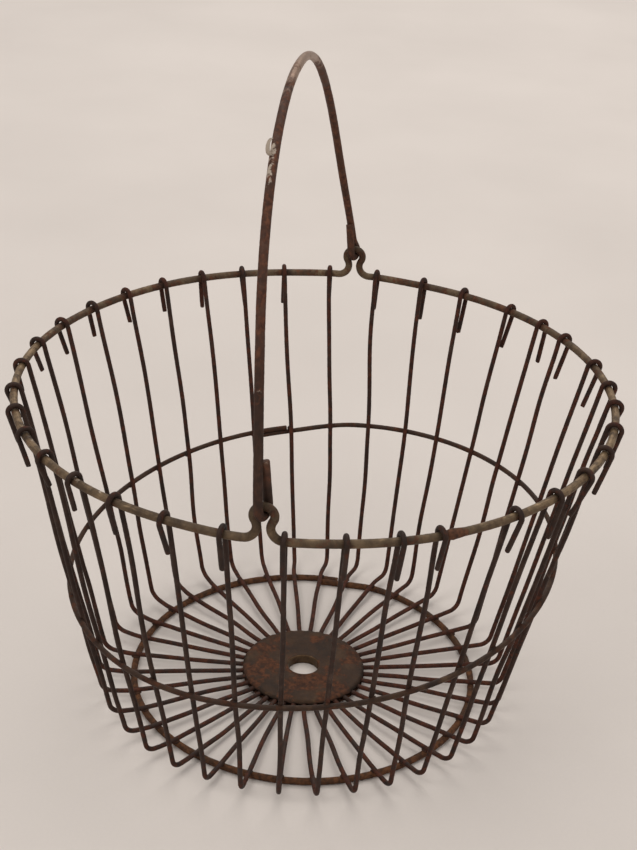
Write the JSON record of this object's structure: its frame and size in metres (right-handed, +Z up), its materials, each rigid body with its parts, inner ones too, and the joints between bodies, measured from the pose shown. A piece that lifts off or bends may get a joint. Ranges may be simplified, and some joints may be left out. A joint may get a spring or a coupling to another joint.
{
  "type": "fruit picker basket",
  "caption": "Round flared wire picking basket: hooked ribs on a round rim, tilted middle hoop, foot ring, pierced hub plates and a swinging bail held in rim eyes.",
  "frame": {"origin": "centre of the foot ring's contact circle, on the floor", "axes": "+Z up; X through the two rim eyes, so the bail swings about an axis along X; +X is the eye with the longer bail tail"},
  "size_m": [0.3932, 0.389, 0.4323],
  "materials": {
    "rim_wire": "dull weathered zinc with brown rust freckles",
    "rib_wire": "dark brown oxidised wire, semi-matt",
    "hoop_wire": "brown oxidised wire with grey worn highlights",
    "foot_ring_wire": "orange-brown rust, matt",
    "hub_plate": "mottled brown rust on pressed sheet, matt",
    "bail_wire": "dark red-brown oxide, worn pale at the crown"
  },
  "bodies": {
    "basket": {"rim": "rim_wire", "mid_hoop": "hoop_wire", "foot_ring": "foot_ring_wire", "hub_top_plate": "hub_plate", "hub_bottom_plate": "hub_plate", "rib_01": "rib_wire", "rib_02": "rib_wire", "rib_03": "rib_wire", "rib_04": "rib_wire", "rib_05": "rib_wire", "rib_06": "rib_wire", "rib_07": "rib_wire", "rib_08": "rib_wire", "rib_09": "rib_wire", "rib_10": "rib_wire", "rib_11": "rib_wire", "rib_12": "rib_wire", "rib_13": "rib_wire", "rib_14": "rib_wire", "rib_15": "rib_wire", "rib_16": "rib_wire", "rib_17": "rib_wire", "rib_18": "rib_wire", "rib_19": "rib_wire", "rib_20": "rib_wire", "rib_21": "rib_wire", "rib_22": "rib_wire", "rib_23": "rib_wire", "rib_24": "rib_wire", "rib_25": "rib_wire", "rib_26": "rib_wire", "rib_27": "rib_wire", "rib_28": "rib_wire", "rib_29": "rib_wire", "rib_30": "rib_wire", "rib_31": "rib_wire", "rib_32": "rib_wire", "rib_33": "rib_wire", "rib_34": "rib_wire", "rib_35": "rib_wire", "rib_36": "rib_wire"},
    "bail": {"bail": "bail_wire"}
  },
  "joints": [
    {"name": "bail_swing", "type": "hinge", "parent": "basket", "child": "bail", "pos_m": [0, 0, 0.2397], "axis": [1, 0, 0], "range_deg": [-96.5, 85.5]}
  ]
}
